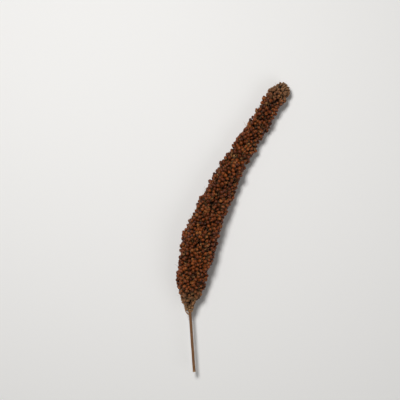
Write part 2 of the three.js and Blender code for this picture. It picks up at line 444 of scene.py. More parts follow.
def mesh_from(
    name: str, vertices: np.ndarray, faces: list, values: dict | None = None, edges: list | None = None
) -> Mesh:
    """Makes a mesh in metres from millimetres.

    Args:
        name: The mesh's name.
        vertices: Its points in millimetres.
        faces: Its faces as lists of point numbers.
        values: A number or a vector for each point, by name.
        edges: Its loose edges as pairs of point numbers.

    Returns:
        The mesh, smooth shaded.
    """
    mesh = bpy.data.meshes.new(name)
    mesh.from_pydata((np.asarray(vertices) * MM).tolist(), edges or [], faces)
    for key, numbers in (values or {}).items():
        kind, part = ("FLOAT_VECTOR", "vector") if numbers.ndim == 2 else ("FLOAT", "value")
        layer = mesh.attributes.new(key, kind, "POINT")
        layer.data.foreach_set(part, numbers.astype(np.float32).ravel())
    mesh.shade_smooth()
    mesh.update()
    return mesh


def object_from(mesh: Mesh) -> Object:
    """Shows a mesh in the scene.

    Args:
        mesh: The mesh.

    Returns:
        A new object of the mesh's name.
    """
    shown = bpy.data.objects.new(mesh.name, mesh)
    bpy.context.scene.collection.objects.link(shown)
    return shown


def discard(*helpers: Object) -> None:
    """Removes objects that only helped to make a piece."""
    for helper in helpers:
        bpy.data.objects.remove(helper)


def tube_faces(rings: int, columns: int, clockwise: bool = True) -> list[tuple[int, ...]]:
    """Joins rings of points into a closed tube, with a point at each end after all the rings.

    Args:
        rings: How many rings there are.
        columns: How many points each ring has.
        clockwise: Whether the rings run clockwise seen from the last one.

    Returns:
        The faces, facing out.
    """
    faces = []
    for ring in range(rings - 1):
        for column in range(columns):
            here = ring * columns + column
            beside = ring * columns + (column + 1) % columns
            faces.append((here, here + columns, beside + columns, beside))
    first, last = rings * columns, rings * columns + 1
    top = (rings - 1) * columns
    for column in range(columns):
        beside = (column + 1) % columns
        faces.append((column, beside, first))
        faces.append((top + beside, top + column, last))
    return faces if clockwise else [tuple(reversed(face)) for face in faces]


def keep_piece(piece: Object, solid: Solid) -> None:
    """Tells the frame what a finished piece is.

    Args:
        piece: The finished object, at the origin.
        solid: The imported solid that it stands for.
    """
    node, slot = solid.value
    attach(piece, BODY)
    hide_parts(node)
    piece.data.calc_loop_triangles()
    LOG.info("%s: %d triangles", piece.name, len(piece.data.loop_triangles))


@dataclass(frozen=True)
class PlantFinish:
    """What the finishes of dried plant matter share: how rough and glossy they are, and their relief.

    "bump" is how strongly the relief shows and "relief_depth" how deep it is.
    """

    name: str
    roughness: float = field(default=0.8, kw_only=True)
    gloss: float = field(default=0.2, kw_only=True)
    bump: float = field(default=0.3, kw_only=True)
    relief_depth: float = field(default=0.05, kw_only=True)
    ior: float = field(default=1.5, kw_only=True)

    def pattern(self, tree: NodeTree) -> tuple[Node, Node]:
        """Adds the nodes whose results are the colour and the relief."""
        raise NotImplementedError

    def material(self) -> Material:
        """Makes the material.

        Returns:
            The material, with its plain numbers on the shader itself.
        """
        made = bpy.data.materials.new(self.name)
        made.use_nodes = True
        tree = made.node_tree
        colour, relief = self.pattern(tree)
        depths = {"Strength": self.bump, "Distance": self.relief_depth * MM, "Height": relief}
        looks = {
            "Base Color": colour,
            "Normal": add_node(tree, "ShaderNodeBump", inputs=depths),
            "Roughness": self.roughness,
            "IOR": self.ior,
            "Specular IOR Level": self.gloss,
        }
        fill(tree.nodes["Principled BSDF"], looks)
        return made


@dataclass(frozen=True)
class RipeHusk(PlantFinish):
    """Dried millet lemma and palea, grown as a hard shell round each grain.

    It gives the eye a satin red-brown bead with one soft highlight, darker towards its root with
    painted shade, and duller towards the head's thin ends. Side branches ripen unevenly, which
    leaves lighter and darker patches some 9 mm across. A dark seam runs up both sides, where the
    larger shell half laps over the smaller one. The real shell has a ridge every 0.05 mm from its
    root to its tip, too fine to show, so the ridges are drawn 0.16 mm apart.
    """

    dark: str = "#502007"
    common: str = "#73340D"
    light: str = "#884417"
    pale: str = "#935524"
    unripe: str = "#98714C"
    # Painted shade: each grain darkens to this colour towards its root, over the share of its height set
    # below.
    root: str = "#1C0B04"
    tint_stops: tuple = (0.0, 0.35, 0.92, 1.0)
    mottle: float = 0.6
    mottle_shades: tuple[float, float] = (0.74, 1.16)
    patch: float = 9.0
    patch_shades: tuple[float, float] = (0.78, 1.2)
    apart: float = 90.0
    ridge: float = 0.16
    ridge_stretch: float = 0.2
    root_shade_from: float = 0.2
    root_shade_to: float = 0.8
    seam_place: float = 0.42
    seam_width: float = 0.09
    seam_shade: float = 0.5
    roughness: float = field(default=0.45, kw_only=True)
    gloss: float = field(default=0.25, kw_only=True)
    bump: float = field(default=0.8, kw_only=True)
    relief_depth: float = field(default=0.055, kw_only=True)

    def pattern(self, tree: NodeTree) -> tuple[Node, Node]:
        """Adds the colour, from the grain's tint to painted shade at its root, and the ridges with their
        seam.

        Args:
            tree: The material's node tree.

        Returns:
            The nodes whose results are the colour and the relief.
        """
        tint, rise, pallor, own = (
            add_node(tree, "ShaderNodeAttribute", {"attribute_name": name})
            for name in ("tint", "rise", "pallor", "own")
        )
        shift = {0: tint.outputs["Vector"], "Scale": self.apart}
        apart = add_node(tree, "ShaderNodeVectorMath", SCALE, shift)
        place = add_node(tree, "ShaderNodeVectorMath", ADD, {0: own.outputs["Vector"], 1: apart})
        stretch = {0: place, 1: (1.0, 1.0, self.ridge_stretch)}
        lengthwise = add_node(tree, "ShaderNodeVectorMath", TIMES, stretch)
        ramp = add_node(tree, "ShaderNodeValToRGB", inputs={"Fac": tint.outputs["Fac"]})
        set_ramp(ramp, self.tint_stops, (self.dark, self.common, self.light, self.pale))
        ageing = {"Factor": pallor.outputs["Fac"], "A": ramp, "B": linear(self.unripe)}
        colour = add_node(tree, "ShaderNodeMix", COLOUR, ageing)
        head = add_node(tree, "ShaderNodeTexCoord").outputs["Object"]
        seam = self._seam(tree, own.outputs["Vector"])
        for shade in (
            uneven_shade(tree, place, self.mottle, 3.0, self.mottle_shades),
            uneven_shade(tree, head, self.patch * MM, 1.0, self.patch_shades),
            seam,
        ):
            colour = add_node(tree, "ShaderNodeMix", DARKEN, {"Factor": 1.0, "A": colour, "B": shade})
        heights = {"Value": rise.outputs["Fac"], "From Min": self.root_shade_from, "From Max": self.root_shade_to}
        root_shade_share = add_node(tree, "ShaderNodeMapRange", EASED, heights)
        root_shading = {"Factor": root_shade_share, "A": linear(self.root), "B": colour}
        fine = {"Vector": lengthwise, "Scale": 1 / self.ridge, "Detail": 1.0}
        ridges = add_node(tree, "ShaderNodeTexNoise", inputs=fine)
        relief = add_node(tree, "ShaderNodeMath", ADD, {0: ridges, 1: seam})
        return add_node(tree, "ShaderNodeMix", COLOUR, root_shading), relief

    def _seam(self, tree: NodeTree, own: NodeSocket) -> Node:
        """Adds the seam between the two shell halves.

        Args:
            tree: The material's node tree.
            own: The place on the grain in its own millimetres, its flatter side at negative Y.

        Returns:
            The shade of the seam: 1 away from it, and darkest along it.
        """
        axes = add_node(tree, "ShaderNodeSeparateXYZ", inputs={0: own})
        from_seam = add_node(tree, "ShaderNodeMath", ADD, {0: axes.outputs["Y"], 1: self.seam_place})
        gap = add_node(tree, "ShaderNodeMath", {"operation": "ABSOLUTE"}, {0: from_seam})
        widths = {"Value": gap, "From Max": self.seam_width, "To Min": self.seam_shade}
        return add_node(tree, "ShaderNodeMapRange", EASED, widths)


@dataclass(frozen=True)
class PlainFibre(PlantFinish):
    """Dried plant fibre, such as papery husk, bristle, twig or straw, as it grew.

    It gives the eye a dull tan with no highlight, uneven from one piece to the next, most pieces
    dark and a few bright. "pale" is what it turns to where it is thin or freshly cut, and "grain" is
    the size of its spots.
    """

    dark: str
    light: str
    pale: str
    grain: float = 0.5
    few_bright: float = 3.0
    tint_share: float = 0.8
    darkest: float = 0.35
    brightest: float = 1.3

    def pattern(self, tree: NodeTree) -> tuple[Node, Node]:
        """Adds the colour, from the piece's tint and the fibre's own grain, and that grain's relief.

        Args:
            tree: The material's node tree.

        Returns:
            The nodes whose results are the colour and the relief.
        """
        tint, pallor = (
            add_node(tree, "ShaderNodeAttribute", {"attribute_name": name}) for name in ("tint", "pallor")
        )
        place = add_node(tree, "ShaderNodeTexCoord").outputs["Object"]
        spots = {"Vector": place, "Scale": 1 / (self.grain * MM), "Detail": 4.0}
        grain = add_node(tree, "ShaderNodeTexNoise", inputs=spots)
        power = {0: tint.outputs["Fac"], 1: self.few_bright}
        few_bright = add_node(tree, "ShaderNodeMath", {"operation": "POWER"}, power)
        sums = {0: few_bright, 1: self.tint_share, 2: grain}
        both = add_node(tree, "ShaderNodeMath", {"operation": "MULTIPLY_ADD"}, sums)
        limits = {"Value": both, "From Min": self.darkest, "From Max": self.brightest}
        spread = add_node(tree, "ShaderNodeMapRange", inputs=limits)
        colours = {"Factor": spread, "A": linear(self.dark), "B": linear(self.light)}
        fibre = add_node(tree, "ShaderNodeMix", COLOUR, colours)
        ageing = {"Factor": pallor.outputs["Fac"], "A": fibre, "B": linear(self.pale)}
        return add_node(tree, "ShaderNodeMix", COLOUR, ageing), grain


class Finish(Enum):
    """The finishes of everything on the head."""

    RIPE = RipeHusk("millet_husk_ripe_satin")
    # Painted shade: the ripe finish in darker colours, for the grains that lie deep in the head.
    SHADED = RipeHusk("millet_husk_ripe_inner", "#220D04", "#331505", "#421E0B", "#4C2D15", "#4A3423")
    PAPER = PlainFibre("millet_glume_papery_dry", "#331B0E", "#A87647", "#B08A62", roughness=0.75)
    BRISTLE = PlainFibre("millet_bristle_stiff_dry", "#63401F", "#BE9260", "#BE9C74", 0.8, roughness=0.6)
    TWIG = PlainFibre("millet_branchlet_dry", "#5F3F26", "#A67E58", "#B8946C", 0.4, roughness=0.75, bump=0.4)
    # Painted shade: chaff coloured near black, for the body that shows deep between the grains.
    CHAFF = PlainFibre("millet_chaff_packed", "#0D0603", "#221209", "#3A2517", 0.6, roughness=0.95, bump=0.8)
    STRAW = PlainFibre("millet_straw_ribbed", "#5C3A23", "#9C714B", "#C9AC87", 0.9, roughness=0.62, bump=0.5)

    def material(self) -> Material:
        """Returns the finish's material, which is made once."""
        return bpy.data.materials.get(self.value.name) or self.value.material()


def uneven_shade(
    tree: NodeTree, place: Node | NodeSocket, size: float, detail: float, shades: tuple[float, float]
) -> Node:
    """Adds a shade that is lighter and darker in spots.

    Args:
        tree: The node tree to add to.
        place: What gives the place on the piece.
        size: The size of a spot, in the unit that the place is in.
        detail: How many finer layers the spots have.
        shades: The darkest and the lightest shade.

    Returns:
        The node whose result is the shade.
    """
    inputs = {"Vector": place, "Scale": 1 / size, "Detail": detail}
    spots = add_node(tree, "ShaderNodeTexNoise", inputs=inputs)
    darkest, lightest = shades
    limits = {"Value": spots, "From Min": 0.3, "From Max": 0.7, "To Min": darkest, "To Max": lightest}
    return add_node(tree, "ShaderNodeMapRange", inputs=limits)


def set_ramp(ramp: Node, places: tuple[float, ...], colours: tuple[str, ...]) -> None:
    """Sets a colour ramp's stops.

    Args:
        ramp: The ramp's node.
        places: Where the stops are, from 0 to 1.
        colours: Their sRGB hex colours.
    """
    stops = ramp.color_ramp.elements
    while len(stops) < len(places):
        stops.new(0.5)
    for stop, place, colour in zip(stops, places, colours):
        stop.position = place
        stop.color = linear(colour)


@dataclass(frozen=True)
class GrainShape:
    """One ripe grain: an egg with one flatter side, its root down and its blunt tip up."""

    name: str
    length: float
    width: float
    thickness: float
    fullness: float
    egg_shape: float = 0.08
    flat_side: float = 0.84
    columns: int = 10
    rings: int = 5

    def build(self) -> Object:
        """Builds the grain.

        Returns:
            The grain as an object, with its height as "rise" and its own millimetres as "own".
        """
        up = (np.arange(self.rings) + 1) / (self.rings + 1) * math.pi
        turn = turns(self.columns)
        full = np.sin(up) ** self.fullness * (1 + self.egg_shape * np.cos(up))
        side = np.where(np.sin(turn) < 0, self.flat_side, 1.0)
        x = full[:, None] * np.cos(turn) * self.width / 2
        y = full[:, None] * np.sin(turn) * side * self.thickness / 2
        z = -np.cos(up)[:, None] * self.length / 2 + 0 * turn
        ends = [[0, 0, -self.length / 2], [0, 0, self.length / 2]]
        points = np.vstack([np.column_stack([x.ravel(), y.ravel(), z.ravel()]), ends])
        faces = tube_faces(self.rings, self.columns, clockwise=False)
        values = {"rise": points[:, 2] / self.length + 0.5, "own": points}
        return object_from(mesh_from(self.name, points, faces, values))


@dataclass(frozen=True)
class HuskShape:
    """The papery husk that holds a grain: curved blunt scales, and a short stem below.

    "scales" gives each scale's turn round the grain, its length and its width. The shares are of
    that width: at its root, how far it swells above, and at its tip.
    """

    name: str
    scales: tuple
    grain_length: float
    grain_width: float
    flare: float
    stem_length: float
    stem_radius: float = 0.09
    stem_sides: int = 3
    stem_overlap: float = 0.1
    clearance: float = 0.04
    thickness: float = 0.05
    across: int = 2
    up: int = 4
    least_round: float = 0.06
    root_share: float = 0.45
    swell_share: float = 2.2
    tip_share: float = 0.32
    tip_rounding: float = 0.2

    def build(self) -> Object:
        """Builds the husk.

        Returns:
            The husk as one object, with its height as the value "rise".
        """
        points = np.empty((0, 3))
        faces: list = []
        parts = [self._scale(*scale) for scale in self.scales]
        for own_points, own_faces in [*parts, self._stem()]:
            faces += [tuple(len(points) + corner for corner in face) for face in own_faces]
            points = np.vstack([points, own_points])
        rise = (points[:, 2] - points[:, 2].min()) / np.ptp(points[:, 2])
        return object_from(mesh_from(self.name, points, faces, {"rise": rise}))

    def _scale(self, turn: float, length: float, width: float) -> tuple[np.ndarray, list]:
        """Works out one scale, a thin closed leaf curved round the grain.

        Args:
            turn: Where it stands round the grain.
            length: Its length up the grain.
            width: Its width.

        Returns:
            Its points and its faces.
        """
        half = self.grain_length / 2
        v = np.linspace(0, 1, self.up + 1)[:, None]
        sideways = np.linspace(-1, 1, self.across + 1)
        height = -half + v * length
        round_part = np.sqrt(np.maximum(self.least_round, 1 - (height / half) ** 2))
        outside = self.grain_width / 2 * round_part + self.clearance + self.flare * v * v
        swell = self.swell_share * v * (1 - v)
        breadth = width * (self.root_share + swell - (self.root_share - self.tip_share) * v**3)
        z = height - self.tip_rounding * length * v * v * sideways * sideways
        layers = []
        for radius in (outside, outside - self.thickness):
            angle = turn + sideways / 2 * breadth / radius
            layers.append(np.stack([radius * np.cos(angle), radius * np.sin(angle), z], axis=-1))
        grid = np.arange(z.size).reshape(z.shape)
        corners = (grid[:-1, :-1], grid[:-1, 1:], grid[1:, 1:], grid[1:, :-1])
        front = np.stack(corners, axis=-1).reshape(-1, 4)
        back = front[:, [0, 3, 2, 1]] + z.size
        rim = np.r_[grid[0], grid[1:, -1], grid[-1, -2::-1], grid[-2:0:-1, 0]]
        beside = np.roll(rim, -1)
        edge = np.column_stack([beside, rim, rim + z.size, beside + z.size])
        return np.array(layers).reshape(-1, 3), np.vstack([front, back, edge]).tolist()

    def _stem(self) -> tuple[np.ndarray, list]:
        """Works out the stem below the scales.

        Returns:
            Its points and its faces.
        """
        sides = self.stem_sides
        around = turns(sides)
        ring = self.stem_radius * np.column_stack([np.cos(around), np.sin(around)])
        top = self.stem_overlap - self.grain_length / 2
        rings = [np.column_stack([ring, np.full(sides, z)]) for z in (top - self.stem_length, top)]
        here = np.arange(sides)
        beside = (here + 1) % sides
        walls = np.column_stack([here, beside, beside + sides, here + sides]).tolist()
        return np.vstack(rings), [*walls, here[::-1].tolist(), (here + sides).tolist()]


@dataclass(frozen=True)
class BristleShape:
    """One stiff bristle, thickest at its root, curved and ending in a point."""

    name: str
    length: float
    thickness: float
    curve: float
    taper: float = 0.6
    sides: int = 3
    steps: int = 3

    def build(self) -> Object:
        """Builds the bristle.

        Returns:
            The bristle as an object, with its height as the value "rise".
        """
        points = []
        for step in range(self.steps):
            v = step / self.steps
            radius = self.thickness / 2 * (1 - self.taper * v)
            for angle in turns(self.sides):
                x = radius * math.cos(angle) + self.curve * v * v
                points.append((x, radius * math.sin(angle), v * self.length))
        points = np.array([*points, (0, 0, 0), (self.curve, 0, self.length)])
        faces = tube_faces(self.steps, self.sides, clockwise=False)
        return object_from(mesh_from(self.name, points, faces, {"rise": points[:, 2] / self.length}))


@dataclass(frozen=True)
class Growth:
    """What grows all over a skin, set there by Geometry Nodes.

    Each copy stands out of the skin, leans towards the head's tip and strays a little. "spacing" is
    the least distance between two, "cover" the skin's value that says how thick they stand, "lean"
    how far they lean, "stray" how much they differ, "fallen" the share that has fallen off, and
    "uneven" how far they stand off the skin or sink into it.
    """

    name: str
    spacing: float
    seed: int
    cover: str = "grain_cover"
    lean: float = 0.5
    stray: float = 0.4
    smallest: float = 0.75
    largest: float = 1.1
    fallen: float = 0.0
    uneven: float = 0.0
    most_per_mm2: float = 4.0
    highest: float = 19.5

    def build(self, skin: Object, shapes: list[Object], finish: Finish, solid: Solid) -> None:
        """Grows the copies and hands them to the frame as one plain piece.

        Args:
            skin: The mesh they grow on, with "ahead", "size" and a cover value for each point.
            shapes: The shapes to choose from.
            finish: Their finish.
            solid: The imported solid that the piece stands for.
        """
        choice = bpy.data.collections.new(self.name + "_shapes")
        for shape in shapes:
            choice.objects.link(shape)
        sizes = {
            "Spacing": self.spacing * MM,
            "Most per area": self.most_per_mm2 / MM**2,
            "Lean": self.lean,
            "Stray": self.stray,
            "Smallest": self.smallest,
            "Largest": self.largest,
            "Still there": 1 - self.fallen,
            "Unevenness": self.uneven * MM,
            "Highest": self.highest * MM,
        }
        tree, sockets = self._tree(sizes, len(shapes), finish.material())
        given = {"Shapes": choice, "Seed": self.seed} | sizes
        piece = grown_from(self.name, skin.data, tree, {sockets[key]: given[key] for key in given})
        bpy.data.collections.remove(choice)
        keep_piece(piece, solid)

    def _tree(
        self, sizes: dict[str, float], shape_count: int, material: Material
    ) -> tuple[NodeTree, dict[str, str]]:
        """Builds the node tree.

        Args:
            sizes: The tree's plain sizes by name.
            shape_count: How many shapes there are to choose from.
            material: The finish that the tree gives the copies.

        Returns:
            The tree, and the identifier of each of its inputs by name.
        """
        tree = bpy.data.node_groups.new(self.name + "_growth", "GeometryNodeTree")
        kinds = {"Skin": "NodeSocketGeometry", "Shapes": "NodeSocketCollection", "Seed": "NodeSocketInt"}
        given, sockets = tree_inputs(tree, kinds | dict.fromkeys(sizes, "NodeSocketFloat"))
        points = self._points(tree, given)
        choice = {"Collection": given["Shapes"], "Separate Children": True, "Reset Children": True}
        which = {"Min": 0, "Max": shape_count - 1, "Seed": Chance.SHAPE.value}
        kept = {"Probability": given["Still there"], "Seed": Chance.KEPT.value}
        setting = {
            "Points": self._off_skin(tree, given, points),
            "Selection": add_node(tree, "FunctionNodeRandomValue", {"data_type": "BOOLEAN"}, kept),
            "Instance": add_node(tree, "GeometryNodeCollectionInfo", inputs=choice),
            "Pick Instance": True,
            "Instance Index": add_node(tree, "FunctionNodeRandomValue", {"data_type": "INT"}, which),
            "Rotation": self._rotation(tree, given, points),
            "Scale": self._size(tree, given),
        }
        copies = add_node(tree, "GeometryNodeInstanceOnPoints", inputs=setting)
        any_tint = {"Min": 0.0, "Max": 1.0, "Seed": Chance.TINT.value}
        tint = add_node(tree, "FunctionNodeRandomValue", NUMBER, any_tint)
        one_each = NUMBER | {"domain": "INSTANCE"}
        tinting = {"Geometry": copies, "Name": "tint", "Value": tint}
        tinted = add_node(tree, "GeometryNodeStoreNamedAttribute", one_each, tinting)
        real = add_node(tree, "GeometryNodeRealizeInstances", inputs={"Geometry": tinted})
        keeping = {"Geometry": real, "Position": self._kept_in(tree, given)}
        finish_tree(tree, add_node(tree, "GeometryNodeSetPosition", inputs=keeping), material)
        return tree, sockets

    def _points(self, tree: NodeTree, given: Sockets) -> Node:
        """Adds the scattered points, no two nearer than the spacing.

        Args:
            tree: The node tree.
            given: The tree's inputs.

        Returns:
            The node that scatters them.
        """
        cover = add_node(tree, "GeometryNodeInputNamedAttribute", NUMBER, {"Name": self.cover})
        scatter = {
            "Mesh": given["Skin"],
            "Distance Min": given["Spacing"],
            "Density Max": given["Most per area"],
            "Density Factor": cover,
            "Seed": given["Seed"],
        }
        apart = {"distribute_method": "POISSON"}
        return add_node(tree, "GeometryNodeDistributePointsOnFaces", apart, scatter)

    def _off_skin(self, tree: NodeTree, given: Sockets, points: Node) -> Node:
        """Moves the points a little off the skin or into it.

        Args:
            tree: The node tree.
            given: The tree's inputs.
            points: The node that scatters them.

        Returns:
            The node that has moved them.
        """
        either_way = {"Min": -1.0, "Max": 1.0, "Seed": Chance.HEIGHT.value}
        drawn = add_node(tree, "FunctionNodeRandomValue", NUMBER, either_way)
        how_far = add_node(tree, "ShaderNodeMath", TIMES, {0: drawn, 1: given["Unevenness"]})
        outwards = {0: points.outputs["Normal"], "Scale": how_far}
        shift = add_node(tree, "ShaderNodeVectorMath", SCALE, outwards)
        return add_node(tree, "GeometryNodeSetPosition", inputs={"Geometry": points, "Offset": shift})

    def _rotation(self, tree: NodeTree, given: Sockets, points: Node) -> Node:
        """Adds the way each copy faces: out of the skin, ahead and astray, spun about itself.

        Args:
            tree: The node tree.
            given: The tree's inputs.
            points: The node that scatters them.

        Returns:
            The node whose result is the rotation.
        """
        ahead = add_node(tree, "GeometryNodeInputNamedAttribute", VECTOR, {"Name": "ahead"})
        leaning = add_node(tree, "ShaderNodeVectorMath", SCALE, {0: ahead, "Scale": given["Lean"]})
        anywhere = {"Min": (-1.0, -1.0, -1.0), "Max": (1.0, 1.0, 1.0), "Seed": Chance.STRAY.value}
        wild = add_node(tree, "FunctionNodeRandomValue", VECTOR, anywhere)
        straying = add_node(tree, "ShaderNodeVectorMath", SCALE, {0: wild, "Scale": given["Stray"]})
        out_ahead = add_node(tree, "ShaderNodeVectorMath", ADD, {0: points.outputs["Normal"], 1: leaning})
        direction = add_node(tree, "ShaderNodeVectorMath", ADD, {0: out_ahead, 1: straying})
        aimed = add_node(tree, "FunctionNodeAlignRotationToVector", {"axis": "Z"}, {"Vector": direction})
        once_round = {"Min": 0.0, "Max": 2 * math.pi, "Seed": Chance.SPIN.value}
        angle = add_node(tree, "FunctionNodeRandomValue", NUMBER, once_round)
        spin = {"Axis": (0.0, 0.0, 1.0), "Angle": angle}
        about_itself = add_node(tree, "FunctionNodeAxisAngleToRotation", inputs=spin)
        both = {"Rotation": aimed, "Rotate By": about_itself}
        return add_node(tree, "FunctionNodeRotateRotation", {"rotation_space": "LOCAL"}, both)

    def _size(self, tree: NodeTree, given: Sockets) -> Node:
        """Adds each copy's size: a random one, times the skin's own value there.

        Args:
            tree: The node tree.
            given: The tree's inputs.

        Returns:
            The node whose result is the size.
        """
        between = {"Min": given["Smallest"], "Max": given["Largest"], "Seed": Chance.SIZE.value}
        drawn = add_node(tree, "FunctionNodeRandomValue", NUMBER, between)
        here = add_node(tree, "GeometryNodeInputNamedAttribute", NUMBER, {"Name": "size"})
        return add_node(tree, "ShaderNodeMath", TIMES, {0: drawn, 1: here})

    def _kept_in(self, tree: NodeTree, given: Sockets) -> Node:
        """Adds each point's place, moved up to the surface below and down to the highest place.

        Args:
            tree: The node tree.
            given: The tree's inputs.

        Returns:
            The node whose result is the place.
        """
        where = add_node(tree, "GeometryNodeInputPosition")
        x, y, z = add_node(tree, "ShaderNodeSeparateXYZ", inputs={0: where}).outputs
        limits = {"Value": z, "Min": 0.0, "Max": given["Highest"]}
        height = add_node(tree, "ShaderNodeClamp", inputs=limits)
        return add_node(tree, "ShaderNodeCombineXYZ", inputs={0: x, 1: y, 2: height})


def tree_inputs(tree: NodeTree, kinds: dict[str, str]) -> tuple[Sockets, dict[str, str]]:
    """Gives a geometry tree its inputs, the geometry first, and its output.

    Args:
        tree: The node tree.
        kinds: Each input's socket type, by name.

    Returns:
        The input node's sockets, and the inputs' identifiers by name.
    """
    sockets = {}
    for name, kind in kinds.items():
        sockets[name] = tree.interface.new_socket(name, in_out="INPUT", socket_type=kind).identifier
    tree.interface.new_socket("Grown", in_out="OUTPUT", socket_type="NodeSocketGeometry")
    return add_node(tree, "NodeGroupInput").outputs, sockets


def finish_tree(tree: NodeTree, geometry: Node, material: Material) -> None:
    """Ends a geometry tree with real meshes that have their material.

    Args:
        tree: The node tree.
        geometry: The node that has made them.
        material: The finish.
    """
    real = add_node(tree, "GeometryNodeRealizeInstances", inputs={"Geometry": geometry})
    done = add_node(tree, "GeometryNodeSetMaterial", inputs={"Geometry": real, "Material": material})
    add_node(tree, "NodeGroupOutput", inputs={"Grown": done})


def grown_from(name: str, mesh: Mesh, tree: NodeTree, given: dict) -> Object:
    """Runs a geometry tree on a mesh.

    Args:
        name: The new object's name.
        mesh: What the tree starts from.
        tree: The node tree.
        given: The tree's inputs by identifier.

    Returns:
        The result as a plain object with no modifier, smooth shaded.
    """
    source = object_from(mesh)
    nodes = source.modifiers.new("growth", "NODES")
    nodes.node_group = tree
    for identifier, value in given.items():
        nodes[identifier] = value
    depsgraph = bpy.context.evaluated_depsgraph_get()
    result = bpy.data.meshes.new_from_object(
        source.evaluated_get(depsgraph), preserve_all_data_layers=True, depsgraph=depsgraph
    )
    source.modifiers.clear()
    discard(source)
    result.name = name
    result.shade_smooth()
    return object_from(result)


@dataclass
class HeadBody:
    """The body of chaff and side branches deep between the grains, coloured near black as painted shade."""

    form: HeadForm
    skin: Skin = Skin("head_body", 3.2, 0.5, tip_gap=1.4, rings=240, columns=64)
    tint: float = 0.3

    def build(self) -> None:
        """Builds the body and hands it to the frame."""
        points, faces, _, _ = self.form.surface(self.skin)
        mesh = mesh_from(self.skin.name, points, faces, {"tint": np.full(len(points), self.tint)})
        mesh.materials.append(Finish.CHAFF.material())
        keep_piece(object_from(mesh), Solid.HEAD)


@dataclass(frozen=True)
class Layer:
    """One layer of grains: how deep it lies, its finish, whether it has husks, and how it grows."""

    depth: float
    finish: Finish
    husks: bool
    growth: Growth


@dataclass
class GrainCoat:
    """Everything that covers the body: layers of grains, their husks, and bristles.

    "kinds" gives each kind of grain's length as a share of the grain's length, its width and
    thickness as shares of the grain's width, and its fullness.
    """

    form: HeadForm
    layers: tuple = (
        Layer(1.0, Finish.RIPE, True, Growth("grains_outer", 1.9, 11, fallen=0.1, uneven=0.25)),
        Layer(1.8, Finish.RIPE, True, Growth("grains_middle", 1.8, 37, fallen=0.35, uneven=0.3)),
        Layer(2.7, Finish.SHADED, False, Growth("grains_inner", 1.8, 23, "inner_cover", uneven=0.2)),
        Layer(1.1, Finish.RIPE, True, Growth("grains_tip", 1.15, 71, "tip_cover", fallen=0.05, uneven=0.15)),
        Layer(2.3, Finish.SHADED, False, Growth("grains_tip_inner", 1.15, 73, "tip_cover", uneven=0.15)),
    )
    lowest_grain: float = 1.0
    grain_length: float = 2.25
    grain_width: float = 1.95
    kinds: tuple = (
        ("grain_common", 1.0, 1.0, 0.94, 0.8),
        ("grain_plump", 0.94, 1.05, 1.0, 0.74),
        ("grain_slim", 1.04, 0.88, 0.82, 0.86),
    )
    scales: tuple = ((0.0, 1.5, 1.5), (math.pi, 1.0, 1.3))
    scale_flare: float = 0.06
    husk_stem: float = 1.2
    bristle_depth: float = 2.2
    bristles: tuple = (
        BristleShape("bristle_short", 3.4, 0.15, 0.35),
        BristleShape("bristle_long", 4.6, 0.15, 0.8),
    )
    bristle_growth: Growth = Growth("bristles", 1.3, 47, "bristle_cover", 0.9, 0.6, 0.7)

    def build(self) -> None:
        """Builds each layer and the bristles and hands them to the frame."""
        length, width = self.grain_length, self.grain_width
        grains = [
            GrainShape(name, long * length, wide * width, thick * width, fullness).build()
            for name, long, wide, thick, fullness in self.kinds
        ]
        cup = HuskShape("husk_cup", self.scales, length, width, self.scale_flare, self.husk_stem).build()
        for layer in self.layers:
            growth = layer.growth
            skin = Skin(growth.name + "_skin", layer.depth, self.lowest_grain).build(self.form)
            growth.build(skin, grains, layer.finish, Solid.HEAD)
            if layer.husks:
                beneath = replace(growth, name=growth.name.replace("grains", "husks"), fallen=0.0)
                beneath.build(skin, [cup], Finish.PAPER, Solid.HEAD)
            discard(skin)
        skin = Skin("bristle_skin", self.bristle_depth, self.lowest_grain).build(self.form)
        bristles = [shape.build() for shape in self.bristles]
        self.bristle_growth.build(skin, bristles, Finish.BRISTLE, Solid.HEAD)
        discard(skin, cup, *grains, *bristles)


